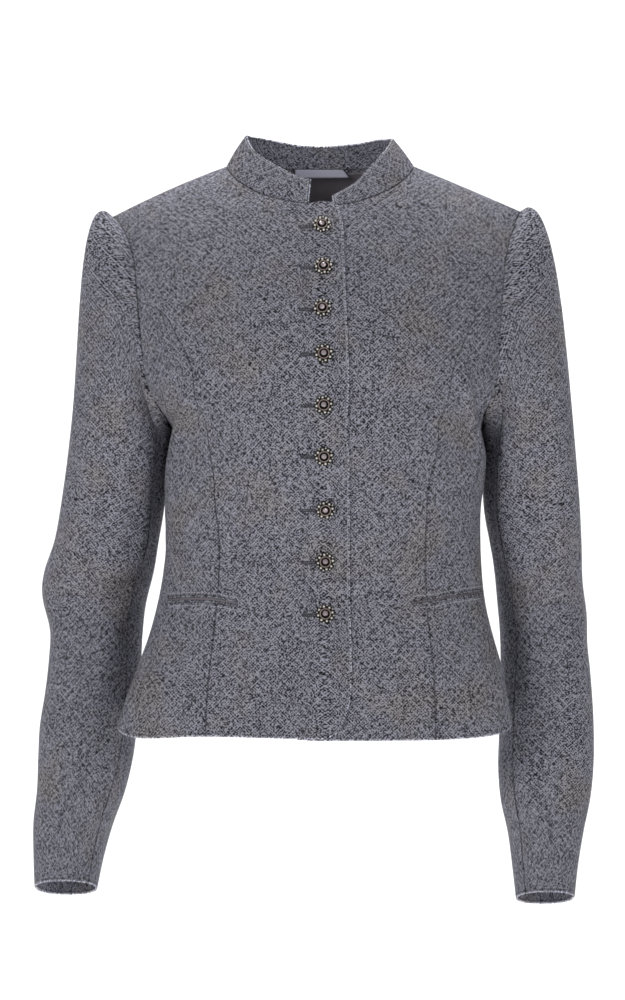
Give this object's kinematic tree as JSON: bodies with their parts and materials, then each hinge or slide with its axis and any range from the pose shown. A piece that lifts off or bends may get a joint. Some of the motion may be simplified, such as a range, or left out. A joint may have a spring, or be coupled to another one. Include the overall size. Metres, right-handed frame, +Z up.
{
  "type": "folk dress jacket",
  "caption": "Short fitted wool jacket in alpine folk style with a stand collar, long sleeves, princess seams, welt pockets and filigree metal buttons down the closed front.",
  "frame": {"origin": "midway between the shoulder neck points of the neck seam, where the jacket rests on the wearer's shoulders", "axes": "+Z up along the wearer's body, +X to the wearer's left, +Y to the wearer's back"},
  "size_m": [0.5334, 0.2421, 0.7335],
  "materials": {
    "wool": "grey-blue melange jacquard jersey",
    "button_metal": "antiqued, with a pale crystal set in the middle",
    "satin": "satin ribbon",
    "lining": "smooth dark lining"
  },
  "bodies": {
    "root": {"front_right": "wool", "front_left": "wool", "side_front_right": "wool", "side_front_left": "wool", "back_right": "wool", "back_left": "wool", "sleeve_right_top": "wool", "sleeve_right_under": "wool", "sleeve_left_top": "wool", "sleeve_left_under": "wool", "collar": "wool", "welt_right_upper": "wool", "welt_right_lower": "wool", "welt_left_upper": "wool", "welt_left_lower": "wool", "lining_back": "lining", "hanger_loop": "satin", "button_1": "button_metal", "button_2": "button_metal", "button_3": "button_metal", "button_4": "button_metal", "button_5": "button_metal", "button_6": "button_metal", "button_7": "button_metal", "button_8": "button_metal", "button_9": "button_metal"}
  },
  "joints": []
}
